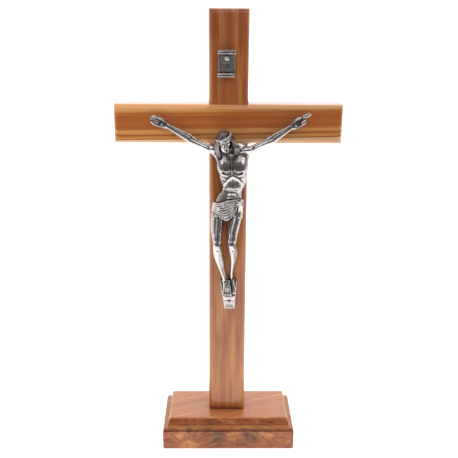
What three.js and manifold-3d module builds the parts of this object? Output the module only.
// Standing table crucifix: a half-lapped wooden cross on a stepped wooden base,
// with a cast corpus and scroll plate pinned to its front. Millimetres, +Z up,
// the figure faces -Y. Origin: centre of the footprint, on the underside.
import * as THREE from "three";
import { mergeVertices } from "three/addons/utils/BufferGeometryUtils.js";
import Module from "manifold-3d";

const wasm = await Module();
wasm.setup();
const V = (x, y, z) => new THREE.Vector3(x, y, z);

// ---------------------------------------------------------------- dimensions
const TOTAL_H = 250;        // underside to top of the upright
const SPAN = 122.5;         // crossbar length
const BAR = 21;             // width of both bars
const THICK = 15;           // thickness of both bars
const ARM_Z = 190.5;        // crossbar centre height
const ROUND = 3;            // front edge round-over
const BEARING = 3.2;        // radius of the cutter's guide at the inner corners
const EASE = 0.8;           // small chamfer on the back edges

const BASE_W = 77, BASE_D = 40, BASE_H = 18.5;
const BASE_X = 1;           // the cross stands 1 mm off the base's centre
const BASE_CORNER = 0.6;    // vertical corner easing
// base edge profile, inset from the outer faces against height
const BASE_STEPS = [
  [0.7, 0], [0, 0.7], [0, 12.0], [0.25, 12.5], [0.7, 12.75], [1.0, 13.3], [1.5, 13.75],
  [2.4, 13.95], [2.8, 14.5], [3.05, 15.4], [3.45, 16.4], [3.95, 17.3], [4.15, 17.95], [4.5, 18.35], [5.1, BASE_H],
];

const FACE = -THICK / 2;    // plane of the cross's front face

// ------------------------------------------------------------- solid helpers
function solid(geometry) {
  const g = geometry.clone();
  g.deleteAttribute("normal");
  g.deleteAttribute("uv");
  const m = mergeVertices(g, 1e-4);
  const index = m.index.array, tris = [];
  for (let i = 0; i < index.length; i += 3) {
    const [a, b, c] = [index[i], index[i + 1], index[i + 2]];
    if (a !== b && b !== c && a !== c) tris.push(a, b, c);
  }
  const p = m.attributes.position, at = (k) => V(p.getX(k), p.getY(k), p.getZ(k));
  let volume = 0;
  for (let i = 0; i < tris.length; i += 3) volume += at(tris[i]).dot(at(tris[i + 1]).cross(at(tris[i + 2])));
  if (volume < 0) tris.reverse();
  return new wasm.Manifold(new wasm.Mesh({
    numProp: 3,
    vertProperties: new Float32Array(p.array),
    triVerts: new Uint32Array(tris),
  }));
}

// the one outer body of a union, without loose crumbs or sealed pockets
const whole = (body) => body.decompose().sort((a, b) => b.volume() - a.volume())[0];

function geometryOf(body) {
  const m = body.getMesh();
  const g = new THREE.BufferGeometry();
  const p = new Float32Array((m.vertProperties.length / m.numProp) * 3);
  for (let i = 0; i < p.length / 3; i++) {
    for (let k = 0; k < 3; k++) p[3 * i + k] = m.vertProperties[m.numProp * i + k];
  }
  g.setAttribute("position", new THREE.BufferAttribute(p, 3));
  g.setIndex(Array.from(m.triVerts));
  const flat = g.toNonIndexed();
  flat.computeVertexNormals();
  return flat;
}

const joined = (list) => list.reduce((a, b) => a.add(b));

// coarser copy of a body: edges are collapsed in order of how little they move the
// surface, never flipping a face or pinching the skin, down to a triangle budget
function coarser(body, budget) {
  const m = body.getMesh(), n = m.vertProperties.length / m.numProp, P = [], T = [];
  for (let i = 0; i < n; i++) P.push([0, 1, 2].map((k) => m.vertProperties[m.numProp * i + k]));
  const to = Array.from({ length: n }, (_, i) => i);
  for (let i = 0; i < (m.mergeFromVert?.length ?? 0); i++) to[m.mergeFromVert[i]] = m.mergeToVert[i];
  for (let i = 0; i < m.triVerts.length; i += 3) T.push([0, 1, 2].map((k) => to[m.triVerts[i + k]]));
  const near = P.map(() => new Set()); // faces round each vertex
  T.forEach((t, i) => t.forEach((v) => near[v].add(i)));
  const sub = (a, b) => [a[0] - b[0], a[1] - b[1], a[2] - b[2]];
  const cross = (a, b) => [a[1] * b[2] - a[2] * b[1], a[2] * b[0] - a[0] * b[2], a[0] * b[1] - a[1] * b[0]];
  const dot = (a, b) => a[0] * b[0] + a[1] * b[1] + a[2] * b[2];
  const faceNormal = (a, b, c) => cross(sub(b, a), sub(c, a));
  const Q = P.map(() => new Float64Array(10));
  for (const [a, b, c] of T) {
    const v = faceNormal(P[a], P[b], P[c]), l = Math.hypot(...v);
    if (l < 1e-9) continue;
    const [x, y, z] = v.map((q) => q / l), d = -(x * P[a][0] + y * P[a][1] + z * P[a][2]), w = l / 2 + 0.01;
    const q = [x * x, x * y, x * z, x * d, y * y, y * z, y * d, z * z, z * d, d * d];
    for (const k of [a, b, c]) q.forEach((e, i) => { Q[k][i] += e * w; });
  }
  const error = (q, [x, y, z]) => q[0] * x * x + 2 * q[1] * x * y + 2 * q[2] * x * z + 2 * q[3] * x
    + q[4] * y * y + 2 * q[5] * y * z + 2 * q[6] * y + q[7] * z * z + 2 * q[8] * z + q[9];
  const ring = (v) => { const s = new Set(); near[v].forEach((f) => T[f].forEach((u) => { if (u !== v) s.add(u); })); return s; };
  let faces = T.length;
  for (let pass = 0, limit = 1e-5; pass < 60 && faces > budget; pass++, limit *= 1.35) {
    for (let f = 0; f < T.length && faces > budget; f++) {
      for (let e = 0; T[f] && e < 3; e++) {
        const a = T[f][e], b = T[f][(e + 1) % 3];
        const q = Q[a].map((x, i) => x + Q[b][i]);
        const mid = P[a].map((x, i) => (x + P[b][i]) / 2);
        const spot = [mid, P[a], P[b]].sort((u, v) => error(q, u) - error(q, v))[0];
        const length = Math.hypot(...sub(P[a], P[b]));
        if (error(q, spot) + 2e-5 * length * length > limit) continue;
        const common = [...ring(a)].filter((u) => ring(b).has(u));
        if (common.length !== 2 || ring(a).size + ring(b).size < 8) continue;
        let fine = true;
        for (const [v, w] of [[a, b], [b, a]]) {
          for (const g of near[v]) {
            if (T[g].includes(w)) continue;
            const before = faceNormal(...T[g].map((u) => P[u]));
            const after = faceNormal(...T[g].map((u) => (u === v ? spot : P[u])));
            const lb = Math.hypot(...before), la = Math.hypot(...after);
            const longest = Math.max(...[0, 1, 2].map((k) => {
              const [p, r] = [T[g][k], T[g][(k + 1) % 3]].map((u) => (u === v ? spot : P[u]));
              return Math.hypot(...sub(p, r));
            }));
            if (la < 0.06 * longest * longest || (lb > 1e-7 && dot(before, after) < 0.35 * la * lb)) { fine = false; break; }
          }
          if (!fine) break;
        }
        if (!fine) continue;
        P[a] = spot;
        Q[a] = q;
        for (const g of [...near[b]]) {
          if (T[g].includes(a)) {
            T[g].forEach((u) => near[u].delete(g));
            T[g] = null;
            faces--;
          } else {
            T[g][T[g].indexOf(b)] = a;
            near[a].add(g);
          }
        }
        near[b].clear();
        break;
      }
    }
  }
  const g = new THREE.BufferGeometry();
  g.setAttribute("position", new THREE.BufferAttribute(new Float32Array(P.flat()), 3));
  g.setIndex(T.filter(Boolean).flat());
  return solid(g);
}

// closed skin over a list of rings with equal point counts, capped at both ends
function skin(rings) {
  const n = rings[0].length, pos = [], idx = [];
  for (const ring of rings) for (const p of ring) pos.push(p.x, p.y, p.z);
  for (let r = 0; r + 1 < rings.length; r++) {
    for (let i = 0; i < n; i++) {
      const a = r * n + i, b = r * n + ((i + 1) % n);
      idx.push(a, b, b + n, a, b + n, a + n);
    }
  }
  for (const [row, flip] of [[0, true], [rings.length - 1, false]]) {
    const c = V(0, 0, 0);
    rings[row].forEach((p) => c.add(p));
    c.divideScalar(n);
    const centre = pos.length / 3;
    pos.push(c.x, c.y, c.z);
    for (let i = 0; i < n; i++) {
      const a = row * n + i, b = row * n + ((i + 1) % n);
      if (flip) idx.push(centre, b, a); else idx.push(centre, a, b);
    }
  }
  const g = new THREE.BufferGeometry();
  g.setAttribute("position", new THREE.BufferAttribute(new Float32Array(pos), 3));
  g.setIndex(idx);
  return g;
}

function box(x0, x1, y0, y1, z0, z1) {
  const g = new THREE.BoxGeometry(x1 - x0, y1 - y0, z1 - z0);
  g.translate((x0 + x1) / 2, (y0 + y1) / 2, (z0 + z1) / 2);
  return solid(g);
}

// rounded limb through stations [x, y, z, half width, half depth]; the width lies
// across the path in the XZ plane, the depth along Y, and both ends are domed
function limb(stations, sides, steps, dome = 1) {
  const curve = new THREE.CatmullRomCurve3(stations.map((s) => V(s[0], s[1], s[2])), false, "centripetal");
  const last = stations.length - 1;
  const size = (t, k) => {
    const f = Math.min(t * last, last - 1e-9), i = Math.floor(f), u = f - i, w = u * u * (3 - 2 * u);
    return stations[i][k] * (1 - w) + stations[i + 1][k] * w;
  };
  const ring = (t, shift, scale) => {
    const p = curve.getPoint(t), dir = curve.getTangent(t).normalize();
    const wide = V(0, 1, 0).cross(dir);
    if (wide.lengthSq() < 1e-6) wide.set(1, 0, 0);
    wide.normalize();
    const deep = dir.clone().cross(wide);
    const a = size(t, 3), b = size(t, 4), out = [];
    p.addScaledVector(dir, shift * Math.min(a, b));
    for (let i = 0; i < sides; i++) {
      const q = (2 * Math.PI * i) / sides;
      out.push(p.clone().addScaledVector(wide, a * scale * Math.cos(q)).addScaledVector(deep, b * scale * Math.sin(q)));
    }
    return out;
  };
  const rings = [], domes = sides > 6 ? [68, 36] : [55];
  for (const q of domes) rings.push(ring(0, -dome * Math.sin((q * Math.PI) / 180), Math.cos((q * Math.PI) / 180)));
  for (let k = 0; k <= steps; k++) rings.push(ring(k / steps, 0, 1));
  for (const q of domes.slice().reverse()) rings.push(ring(1, dome * Math.sin((q * Math.PI) / 180), Math.cos((q * Math.PI) / 180)));
  return solid(skin(rings));
}

// ellipsoid with half axes r, turned by Euler angles in degrees
function egg(c, r, turn = [0, 0, 0], across = 12, down = 8) {
  const g = new THREE.SphereGeometry(1, across, down);
  g.scale(r[0], r[1], r[2]);
  g.applyMatrix4(new THREE.Matrix4().makeRotationFromEuler(
    new THREE.Euler(...turn.map((a) => (a * Math.PI) / 180))));
  g.translate(c[0], c[1], c[2]);
  return solid(g);
}

// --------------------------------------------------------------------- base
function baseBody() {
  const rings = BASE_STEPS.map(([inset, z]) => {
    const hx = BASE_W / 2 - inset, hy = BASE_D / 2 - inset, out = [];
    for (const [sx, sy, a0] of [[1, 1, 0], [-1, 1, 90], [-1, -1, 180], [1, -1, 270]]) {
      for (const a of [0, 45, 90]) {
        const q = ((a0 + a) * Math.PI) / 180;
        out.push(V(BASE_X + sx * (hx - BASE_CORNER) + BASE_CORNER * Math.cos(q),
          sy * (hy - BASE_CORNER) + BASE_CORNER * Math.sin(q), z));
      }
    }
    return out;
  });
  return solid(skin(rings));
}

// -------------------------------------------------------------------- cross
const ARC = Array.from({ length: 9 }, (_, i) => ((i / 8) * Math.PI) / 2);
// inset of the rounded edge at a depth behind the front face
const insetAt = (depth) => ROUND - Math.sqrt(Math.max(0, ROUND * ROUND - (ROUND - depth) ** 2));

// waste along one straight front edge, from point a to point b of the outline,
// with the wood on the side of the unit vector n (all in the XZ plane)
function edgeWaste(a, b, n, back = false) {
  const profile = [];
  if (back) {
    profile.push([-1, THICK / 2 + 1], [-1, THICK / 2 - EASE - 1], [EASE + 1, THICK / 2 + 1]);
  } else {
    for (const q of ARC) {
      const depth = ROUND * (1 - Math.cos(q));
      profile.push([insetAt(depth), FACE + depth]);
    }
    profile.push([-1.5, FACE + ROUND], [-1.5, FACE - 1.5], [ROUND, FACE - 1.5]);
  }
  const ring = (p) => profile.map(([s, y]) => V(p[0] + n[0] * s, y, p[1] + n[1] * s));
  return solid(skin([ring(a), ring(b)]));
}

// waste left by the cutter as it turns round an inner corner
function cornerWaste(cx, cz) {
  const pts = [new THREE.Vector2(0, FACE - 1.5), new THREE.Vector2(BEARING + ROUND, FACE - 1.5)];
  for (const q of ARC) {
    const depth = ROUND * (1 - Math.cos(q));
    pts.push(new THREE.Vector2(BEARING + insetAt(depth), FACE + depth));
  }
  pts.push(new THREE.Vector2(0, FACE + ROUND));
  const g = new THREE.LatheGeometry(pts, 40);
  g.translate(cx, 0, cz);
  return solid(g);
}

function crossBody() {
  const h = BAR / 2, top = TOTAL_H, low = BASE_H, up = ARM_Z + h, dn = ARM_Z - h, end = SPAN / 2;
  const outline = new THREE.Shape([
    [-h, low], [h, low], [h, dn], [end, dn], [end, up], [h, up],
    [h, top], [-h, top], [-h, up], [-end, up], [-end, dn], [-h, dn],
  ].map(([x, z]) => new THREE.Vector2(x, z)));
  const g = new THREE.ExtrudeGeometry(outline, { depth: THICK, bevelEnabled: false });
  g.rotateX(Math.PI / 2);
  g.translate(0, THICK / 2, 0);
  let body = solid(g);
  const b = BEARING, o = 2; // o: run-out past the outer corners
  const waste = [];
  for (const s of [-1, 1]) {
    const left = [-s, 0];
    waste.push(edgeWaste([s * h, up + b], [s * h, top + o], left));
    waste.push(edgeWaste([s * h, low - o], [s * h, dn - b], left));
    waste.push(edgeWaste([s * end, dn - o], [s * end, up + o], left));
    waste.push(edgeWaste([s * (h + b), up], [s * (end + o), up], [0, -1]));
    waste.push(edgeWaste([s * (h + b), dn], [s * (end + o), dn], [0, 1]));
    waste.push(cornerWaste(s * (h + b), up + b), cornerWaste(s * (h + b), dn - b));
    waste.push(edgeWaste([s * h, up], [s * h, top + o], left, true));
    waste.push(edgeWaste([s * h, low - o], [s * h, dn], left, true));
    waste.push(edgeWaste([s * end, dn - o], [s * end, up + o], left, true));
    waste.push(edgeWaste([s * h, up], [s * (end + o), up], [0, -1], true));
    waste.push(edgeWaste([s * h, dn], [s * (end + o), dn], [0, 1], true));
  }
  for (const back of [false, true]) waste.push(edgeWaste([-h - o, top], [h + o, top], [0, -1], back));
  waste.push(edgeWaste([-h - o, low], [h + o, low], [0, 1]));
  body = body.subtract(joined(waste));
  return body;
}

// the crossbar keeps the front half of the lap, the upright the back half
function crossPieces() {
  const body = crossBody(), h = BAR / 2, e = SPAN / 2 + 1;
  const bar = box(-e, e, -THICK, THICK, ARM_Z - h, ARM_Z + h).subtract(box(-h, h, 0, THICK + 1, ARM_Z - h - 1, ARM_Z + h + 1));
  return [body.intersect(bar), body.subtract(bar)];
}

// ------------------------------------------------------------------- corpus
// stations: x, y, z, half width, half depth
const ARM_L = [[-5, -10.6, 174.6, 3, 2.8], [-8.4, -10.9, 176.7, 2.2, 2.4], [-11.6, -10.8, 178.8, 1.55, 1.7],
  [-14.8, -10.6, 180.4, 1.6, 1.7], [-18.6, -10.3, 182.4, 1.9, 1.8], [-22.2, -10.1, 184.6, 2.15, 1.8],
  [-26, -9.8, 186.9, 1.85, 1.6], [-30.9, -9.3, 189.1, 1.4, 1.15], [-33.2, -9.1, 190.3, 1.6, 1.1]];
const ARM_R = [[9.2, -10.6, 174.6, 3, 2.8], [11.4, -10.9, 177.1, 2.1, 2.4], [14.8, -10.8, 179.4, 1.45, 1.7],
  [18.2, -10.6, 181.0, 1.7, 1.7], [21.8, -10.3, 182.7, 2.0, 1.8], [25.6, -10.1, 184.9, 2.15, 1.8],
  [29.6, -9.8, 187.5, 1.8, 1.5], [33.2, -9.3, 189.6, 1.4, 1.15], [34.9, -9.1, 190.3, 1.6, 1.1]];
const LEG_L = [[-4.2, -11.2, 146, 3.4, 3.2], [-5.6, -11.8, 140, 3.45, 3.2], [-6.4, -12.8, 133, 2.9, 2.9],
  [-6.3, -13.8, 128, 2.35, 2.6], [-6.0, -14.4, 124.4, 2.35, 2.3], [-5.5, -13.9, 121, 2.3, 2.3],
  [-4.8, -13.2, 117, 2.35, 2.5], [-3.8, -12.8, 112.6, 1.8, 2.0], [-2.8, -12.3, 108.2, 1.4, 1.6],
  [-1.4, -12.1, 103.6, 1.3, 1.45]];
const LEG_R = [[3.8, -11.2, 146, 3.4, 3.2], [4.2, -11.8, 140, 3.1, 3.2], [3.4, -12.8, 133, 2.65, 2.9],
  [2.3, -13.8, 128, 2.25, 2.6], [2.1, -14.3, 124.2, 2.25, 2.3], [2.6, -13.7, 121, 2.2, 2.3],
  [3.1, -12.9, 117, 2.0, 2.4], [2.8, -12.1, 112.4, 1.5, 1.9], [2.3, -11.3, 107.5, 1.2, 1.5],
  [2.3, -10.6, 103, 1.2, 1.3]];
const FOOT_L = [[-1.4, -12.3, 103.4, 1.35, 1.4], [-0.7, -13.1, 100.2, 1.75, 1.35], [-0.4, -13.1, 97.4, 1.9, 1.1],
  [-0.4, -12.9, 96.0, 1.8, 0.8]];
const FOOT_R = [[2.3, -10.8, 103, 1.3, 1.3], [2.5, -11.0, 99.6, 1.5, 1.2], [2.5, -11.4, 97.3, 1.5, 1.0],
  [2.4, -11.5, 96.0, 1.4, 0.8]];
// trunk rings: z, centre x, half width, front y
const TRUNK = [[178.0, 1.4, 4.2, -11.8], [176.0, 2.0, 7.4, -12.6], [173.4, 2.4, 8.3, -13.7], [170.6, 2.4, 8.3, -14.6],
  [167.4, 2.5, 8.0, -15.2], [164.0, 2.65, 7.6, -15.1], [161.0, 2.8, 7.1, -14.7], [157.8, 2.8, 6.0, -14.1],
  [155.3, 2.0, 5.35, -13.7], [153.0, 1.1, 6.0, -13.8], [149.6, 0.3, 7.0, -14.1], [146.0, 0.0, 7.5, -14.2],
  [142.4, -0.5, 7.6, -13.8], [139.6, -0.8, 6.6, -12.8]];
const HEAD = { centre: [-2.4, -13.4, 182.7], turn: 9, bow: 16, lean: 11, half: [3.75, 4.6, 5.7] };
const PALMS = [[-35.3, 191.0], [35.8, 190.7]];
const FOOT_PIN = [-0.35, 99.6], PLATE_PIN = [1.0, 89.9], SCROLL_PIN = [-1.15, 225.3];

function trunk(sides = 18) {
  const rings = TRUNK.map(([z, cx, hw, front]) => {
    const out = [], mid = -9.4;
    for (let i = 0; i < sides; i++) {
      const q = (2 * Math.PI * i) / sides, c = Math.cos(q), s = Math.sin(q);
      const x = cx + hw * Math.sign(c) * Math.abs(c) ** 0.88;
      const y = s < 0 ? mid + (mid - front) * s * Math.abs(s) ** -0.08 : mid + 3 * s;
      out.push(V(x, y, z));
    }
    return out;
  });
  return solid(skin(rings));
}

function headFrame() {
  const d = Math.PI / 180;
  const m = new THREE.Matrix4().makeTranslation(...HEAD.centre);
  m.multiply(new THREE.Matrix4().makeRotationY(-HEAD.lean * d));
  m.multiply(new THREE.Matrix4().makeRotationZ(-HEAD.turn * d));
  m.multiply(new THREE.Matrix4().makeRotationX(HEAD.bow * d));
  return m;
}

// everything of the head is laid out in its own frame: x to its left side,
// -y forward, z up, and then turned into place
function headParts() {
  const [hx, hy, hz] = HEAD.half, parts = [];
  parts.push(egg([0, 0.3, 1.2], [hx + 0.35, hy, hz - 1.3], [0, 0, 0], 12, 8));        // skull
  parts.push(egg([0, -1.6, -1.6], [hx - 0.9, hy - 1.6, hz - 1.9], [8, 0, 0], 10, 8)); // face
  parts.push(limb([[0, -hy + 0.5, 0.4, 0.45, 0.5], [0, -hy + 0.05, -0.9, 0.6, 0.75], [0, -hy + 0.1, -1.5, 0.75, 0.55]], 6, 2)); // nose
  for (const s of [-1, 1]) {
    parts.push(egg([s * 1.35, -hy + 1.05, 0.75], [1.15, 0.55, 0.4], [0, 0, -s * 12], 6, 4)); // brow
    parts.push(egg([s * 1.75, -hy + 1.6, -1.5], [1.1, 1.0, 1.1], [0, 0, 0], 6, 4)); // cheek
    parts.push(limb([[s * 0.2, -hy + 0.45, -2.3, 0.4, 0.45], [s * 1.3, -hy + 0.75, -2.75, 0.4, 0.4], [s * 1.9, -hy + 1.2, -3.5, 0.3, 0.3]], 5, 2)); // moustache
    parts.push(limb([[s * 2.5, -1.4, -2.2, 0.8, 1.2], [s * 1.9, -2.3, -4.4, 1.1, 1.4], [s * 0.7, -2.9, -6.2, 0.9, 1.0]], 6, 3)); // jaw beard
  }
  parts.push(limb([[0, -3.1, -3.6, 1.5, 1.0], [0, -3.2, -5.2, 1.3, 1.0], [0, -3.0, -6.6, 0.7, 0.6]], 6, 3)); // chin beard
  // hair: a cap of locks from the parting, falling past the ears
  const LOCKS = 5;
  for (const s of [-1, 1]) {
    for (let k = 0; k < LOCKS; k++) {
      const q = (k / (LOCKS - 1)) * 2.0 - 0.55, r = hx + 0.5;
      const at = (el, out) => {
        const e = (el * Math.PI) / 180;
        return [s * (r + out) * Math.cos(e) * Math.cos(q), (hy + 0.3 + out) * Math.cos(e) * Math.sin(q) + 0.4, 1.2 + (hz - 1.2) * Math.sin(e)];
      };
      parts.push(limb([[...at(80, 0), 1.0, 0.8], [...at(45, 0), 1.3, 0.85], [...at(8, 0.15), 1.3, 0.85], [...at(-30, 0.5), 0.9, 0.8]], 5, 4));
    }
  }
  // crown: two strands twisted round each other, sitting a little askew
  const STEPS = 28, RX = hx + 0.85, RY = hy + 0.55;
  for (const phase of [0, Math.PI]) {
    const rings = [];
    for (let k = 0; k < STEPS; k++) {
      const q = (2 * Math.PI * k) / STEPS, tw = 5 * q + phase;
      const c = V((RX + 0.42 * Math.cos(tw)) * Math.cos(q), (RY + 0.42 * Math.cos(tw)) * Math.sin(q), 2.35 + 0.5 * Math.sin(tw) + 0.19 * RX * Math.cos(q));
      const out = [];
      for (let i = 0; i < 5; i++) {
        const w = (2 * Math.PI * i) / 5;
        out.push(V(c.x + 0.5 * Math.cos(w) * Math.cos(q), c.y + 0.5 * Math.cos(w) * Math.sin(q), c.z + 0.5 * Math.sin(w)));
      }
      rings.push(out);
    }
    parts.push(loopSolid(rings));
  }
  const m = headFrame();
  return parts.map((p) => p.transform(m.elements));
}

// closed ring of sections, joined end to end
function loopSolid(rings) {
  const n = rings[0].length, R = rings.length, pos = [], idx = [];
  for (const ring of rings) for (const p of ring) pos.push(p.x, p.y, p.z);
  for (let r = 0; r < R; r++) {
    for (let i = 0; i < n; i++) {
      const a = r * n + i, b = r * n + ((i + 1) % n), c = ((r + 1) % R) * n + ((i + 1) % n), d = ((r + 1) % R) * n + i;
      idx.push(a, b, c, a, c, d);
    }
  }
  const g = new THREE.BufferGeometry();
  g.setAttribute("position", new THREE.BufferAttribute(new Float32Array(pos), 3));
  g.setIndex(idx);
  return solid(g);
}

// long locks that lie on the shoulders
function longHair() {
  const out = [];
  for (let k = 0; k < 3; k++) {
    const f = k / 2;
    out.push(limb([[-6.9 + 1.2 * f, -13.4 - 0.7 * f, 182.4, 0.9, 0.9], [-7.3 + 1.3 * f, -13.6 - 0.5 * f, 179, 0.95, 0.9],
      [-6.7 + 1.4 * f, -13.6, 175.8, 0.9, 0.8], [-6.0 + 1.3 * f, -13.3, 173.2 + 0.5 * f, 0.5, 0.5]], 5, 5));
    out.push(limb([[1.0 + 0.8 * f, -13.4 + 0.6 * f, 182.6, 0.9, 0.9], [2.4 + 1.5 * f, -13.4 + 0.4 * f, 179.8, 0.95, 0.9],
      [3.0 + 1.9 * f, -13.5, 177.2, 0.9, 0.8], [2.9 + 1.6 * f, -13.9, 174.8, 0.5, 0.5]], 5, 5));
  }
  return out;
}

function hand(side) {
  const [px, pz] = PALMS[side < 0 ? 0 : 1], out = [];
  const dir = V(side * 0.84, 0, 0.54), across = V(-side * 0.54, 0, 0.84);
  const p = (along, over, y) => [px + dir.x * along + across.x * over, y, pz + dir.z * along + across.z * over];
  out.push(limb([[...p(-2.2, 0, -9.0), 1.5, 1.1], [...p(0, 0, -8.9), 2.05, 1.2], [...p(1.9, 0.1, -9.1), 2.1, 1.05]], 8, 3, 0.8));
  for (let k = 0; k < 4; k++) {
    const o = 1.6 - 1.08 * k, open = side > 0 && k < 2 ? 1 : 0, len = [5.4, 5.6, 5.2, 4.4][k] + open * 2.6;
    out.push(limb([[...p(1.6, o, -9.1), 0.58, 0.62], [...p(1.6 + len * 0.45, o * 1.1, -9.7 - (1 - open) * 0.5), 0.55, 0.58],
      [...p(1.6 + len * 0.8, o * 1.12, -10.3 - (1 - open) * 1.1), 0.5, 0.52]], 5, 3));
  }
  out.push(limb([[...p(-0.9, 1.5, -9.3), 0.65, 0.65], [...p(0.8, 2.7, -10.0), 0.6, 0.6], [...p(2.5, 2.9, -10.6), 0.5, 0.5]], 5, 3));
  return out;
}

function feet() {
  const out = [limb(FOOT_L, 10, 4, 0.7), limb(FOOT_R, 8, 4, 0.7)];
  for (let k = 0; k < 5; k++) {
    const xl = -0.4 - 1.5 + 0.76 * k, r = k === 4 ? 0.52 : 0.4;
    out.push(limb([[xl, -13.0, 96.6, r, r], [xl, -13.2, 95.3 - 0.12 * k, r, r]], 5, 1));
    const xr = 3.6 - 0.62 * k;
    if (k < 3) out.push(limb([[xr, -11.6, 96.4, 0.36, 0.4], [xr, -11.9, 95.2, 0.36, 0.4]], 5, 1));
  }
  return out;
}

// loincloth: sagging rolls of cloth from the figure's right hip to the knot
function cloth() {
  const FOLDS = 6, out = [];
  for (let k = 0; k < FOLDS; k++) {
    const f = k / (FOLDS - 1), sag = -0.5 + 5.6 * f, zl = 147.4 - 3.0 * f, zr = 149.9 - 2.9 * f, st = [];
    for (let i = 0; i <= 6; i++) {
      const t = i / 6, bow = Math.sin(Math.PI * Math.min(1, Math.max(0, t)));
      st.push([-7.4 + 14.0 * t, -8.4 - 5.9 * Math.pow(bow, 0.42) - 0.3 * f, zl + (zr - zl) * t - sag * bow, 0.95, 0.85]);
    }
    out.push(limb(st, 5, 8));
  }
  out.push(egg([6.2, -13.3, 149.2], [1.7, 1.3, 1.4], [0, 0, 0], 8, 6));
  for (const o of [0, 1]) {
    out.push(limb([[6.2 + 0.5 * o, -12.6, 148.6, 0.8, 0.8], [6.7 + 0.6 * o, -12.2, 145, 0.75, 0.8],
      [6.5 + 0.7 * o, -11.9, 140.6 + o, 0.6, 0.6]], 5, 3));
  }
  return out;
}

// tapering foot plate, thicker above its groove, with shallow strokes below
function footPlate() {
  const slab = (rows, front) => {
    const shape = new THREE.Shape(rows.map(([x, z]) => new THREE.Vector2(x, z)));
    const g = new THREE.ExtrudeGeometry(shape, { depth: FACE - front, bevelEnabled: false });
    g.rotateX(Math.PI / 2); // depth runs along -Y
    g.translate(0, FACE, 0);
    return solid(g);
  };
  let plate = slab([[-1.3, 85.9], [3.7, 85.9], [4.05, 86.3], [4.4, 92.6], [5.05, 102.2], [4.7, 102.6], [-3.7, 102.6], [-4.05, 102.2], [-2.8, 92.6], [-1.7, 86.3]], FACE - 2.3)
    .add(slab([[-2.75, 92.2], [4.4, 92.2], [5.0, 102.3], [-4.0, 102.3]], FACE - 3.2));
  plate = plate.subtract(box(-4, 6, FACE - 4, FACE - 2.0, 91.0, 91.5));
  for (let k = 0; k < 5; k++) plate = plate.subtract(box(-0.6 + 0.75 * k, -0.25 + 0.75 * k, FACE - 4, FACE - 2.05, 87.0, 88.0));
  return plate;
}

// round hole for a pin, with a flat seat for its head
function pinHole(x, z, seat) {
  const make = (r, y0, y1) => {
    const g = new THREE.CylinderGeometry(r, r, y1 - y0, 16);
    g.translate(x, (y0 + y1) / 2, z);
    return solid(g);
  };
  return make(0.85, FACE - 12, FACE + 1).add(make(1.35, seat - 8, seat));
}

// pin: shank standing on the wood, head resting on the seat
function pin(x, z, seat, headR = 1.05, headH = 0.6) {
  const r = 0.5, pts = [[0, FACE], [r, FACE], [r, seat], [headR, seat]];
  for (let i = 0; i < 3; i++) {
    const q = (i / 3) * (Math.PI / 2);
    pts.push([headR * Math.cos(q), seat - 0.15 - headH * Math.sin(q)]);
  }
  pts.push([0, seat - 0.15 - headH]);
  const g = new THREE.LatheGeometry(pts.map(([a, b]) => new THREE.Vector2(a, b)), 12);
  g.translate(x, 0, z);
  return solid(g);
}
const CORPUS_FACES = 6600;  // triangle budget of the figure before it is cut flat behind
const SEAT_PALM = -10.1, SEAT_FOOT = -14.0, SEAT_PLATE = FACE - 2.1, SEAT_SCROLL = FACE - 0.9;

function corpusBody() {
  const parts = [trunk()];
  for (const s of [-1, 1]) {
    parts.push(egg([2.2 + s * 4.1, -12.3, 168.9], [4.2, 3.3, 5.2], [-12, 0, 0], 14, 10));  // chest
    parts.push(egg([2.2 + s * 1.7, -12.1, 159.2], [1.7, 2.1, 3.0], [-10, 0, 0], 8, 6));   // belly under the ribs
    parts.push(limb([[2.2 + s * 0.3, -14.5, 163.9, 0.55, 0.55], [2.4 + s * 2.9, -14.4, 162.1, 0.65, 0.6],
      [2.6 + s * 4.7, -13.8, 159.8, 0.65, 0.6], [2.6 + s * 5.1, -13.0, 158.2, 0.5, 0.5]], 6, 4));  // arch of the ribs
    parts.push(...hand(s));
  }
  parts.push(limb([[2.0, -11.6, 174.5, 3.0, 2.6], [0.6, -12.2, 177.2, 2.3, 2.2], [-0.9, -12.8, 179.6, 2.4, 2.3]], 12, 3));
  parts.push(egg([1.6, -12.1, 151.0], [4.4, 2.5, 4.2], [0, 0, 0], 12, 8));  // lower belly
  for (const st of [ARM_L, ARM_R]) parts.push(limb(st, 10, 9));
  for (const st of [LEG_L, LEG_R]) parts.push(limb(st, 12, 11));
  for (const [x, y, z] of [[-6.0, -15.6, 124.6], [2.1, -15.5, 124.4]]) parts.push(egg([x, y, z], [1.45, 1.1, 1.7], [0, 0, 0], 6, 5));
  parts.push(...feet(), ...cloth(), ...longHair(), ...headParts(), footPlate());
  let body = coarser(whole(joined(parts)), CORPUS_FACES);
  body = body.subtract(box(-60, 60, FACE, 30, 60, 220)); // flat back against the wood
  for (const [x, z] of PALMS) body = body.subtract(pinHole(x, z, SEAT_PALM));
  body = body.subtract(pinHole(...FOOT_PIN, SEAT_FOOT)).subtract(pinHole(...PLATE_PIN, SEAT_PLATE));
  return whole(body);
}

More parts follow.
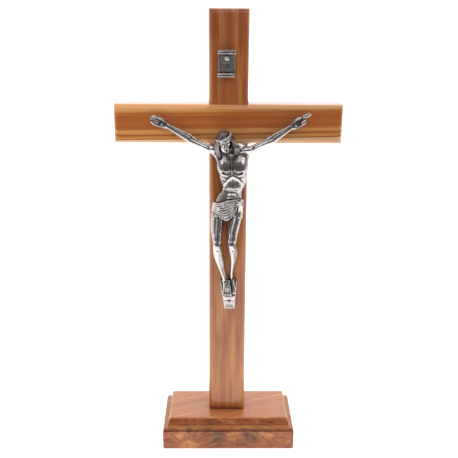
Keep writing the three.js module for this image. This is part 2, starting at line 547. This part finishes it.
// ------------------------------------------------------------- scroll plate
const SCROLL = { x0: -5.5, x1: 3.0, z0: 218.2, z1: 226.8, thick: 1.3, rollR: 1.5 };
function scrollBody() {
  const s = SCROLL, out = [];
  out.push(box(s.x0, s.x1, FACE - s.thick, FACE, s.z0 - 1.2, s.z1 + 1.2));
  const rolls = [[s.x0 - 0.4, s.x1 + 0.3, s.z1 + 1.25], [s.x0 - 0.45, s.x1 - 0.55, s.z0 - 1.35]];
  for (const [x0, x1, z] of rolls) {
    const g = new THREE.CylinderGeometry(s.rollR, s.rollR, x1 - x0, 20);
    g.rotateZ(Math.PI / 2);
    g.translate((x0 + x1) / 2, FACE - 1.25, z);
    out.push(solid(g));
  }
  let body = joined(out).subtract(box(-20, 20, FACE, 20, 200, 240));
  // the curled edge of each roll shows as a slot along its front
  for (const [x0, x1, z] of rolls) body = body.subtract(box(x0 + 0.7, x1 - 0.7, FACE - 3.2, FACE - 2.35, z - 0.25, z + 0.2));
  for (let k = 0; k < 7; k++) body = body.subtract(box(s.x0 + 0.85 + 1.05 * k, s.x0 + 1.3 + 1.05 * k, FACE - 2, FACE - s.thick + 0.35, 219.3, 222.8));
  return whole(body.subtract(pinHole(...SCROLL_PIN, SEAT_SCROLL)));
}

// ------------------------------------------------------------------ assembly
const olive = (tint) => new THREE.MeshStandardMaterial({ color: tint, roughness: 0.28, metalness: 0 });
const silver = () => new THREE.MeshStandardMaterial({ color: 0xb9b4b0, roughness: 0.3, metalness: 1 });

const part = new THREE.Group();
function add(name, body, material) {
  const mesh = new THREE.Mesh(geometryOf(body), material);
  mesh.name = name;
  part.add(mesh);
}

const [crossbar, upright] = crossPieces();
add("base", baseBody(), olive(0xb4703c));
add("upright", upright, olive(0xa8683a));
add("crossbar", crossbar, olive(0x9a5a2c));
add("corpus", corpusBody(), silver());
add("scroll_plate", scrollBody(), silver());
add("nail_right_hand", pin(...PALMS[0], SEAT_PALM), silver());
add("nail_left_hand", pin(...PALMS[1], SEAT_PALM), silver());
add("nail_feet", pin(...FOOT_PIN, SEAT_FOOT), silver());
add("pin_foot_plate", pin(...PLATE_PIN, SEAT_PLATE), silver());
add("pin_scroll", pin(...SCROLL_PIN, SEAT_SCROLL, 0.95, 0.5), silver());

export default part;
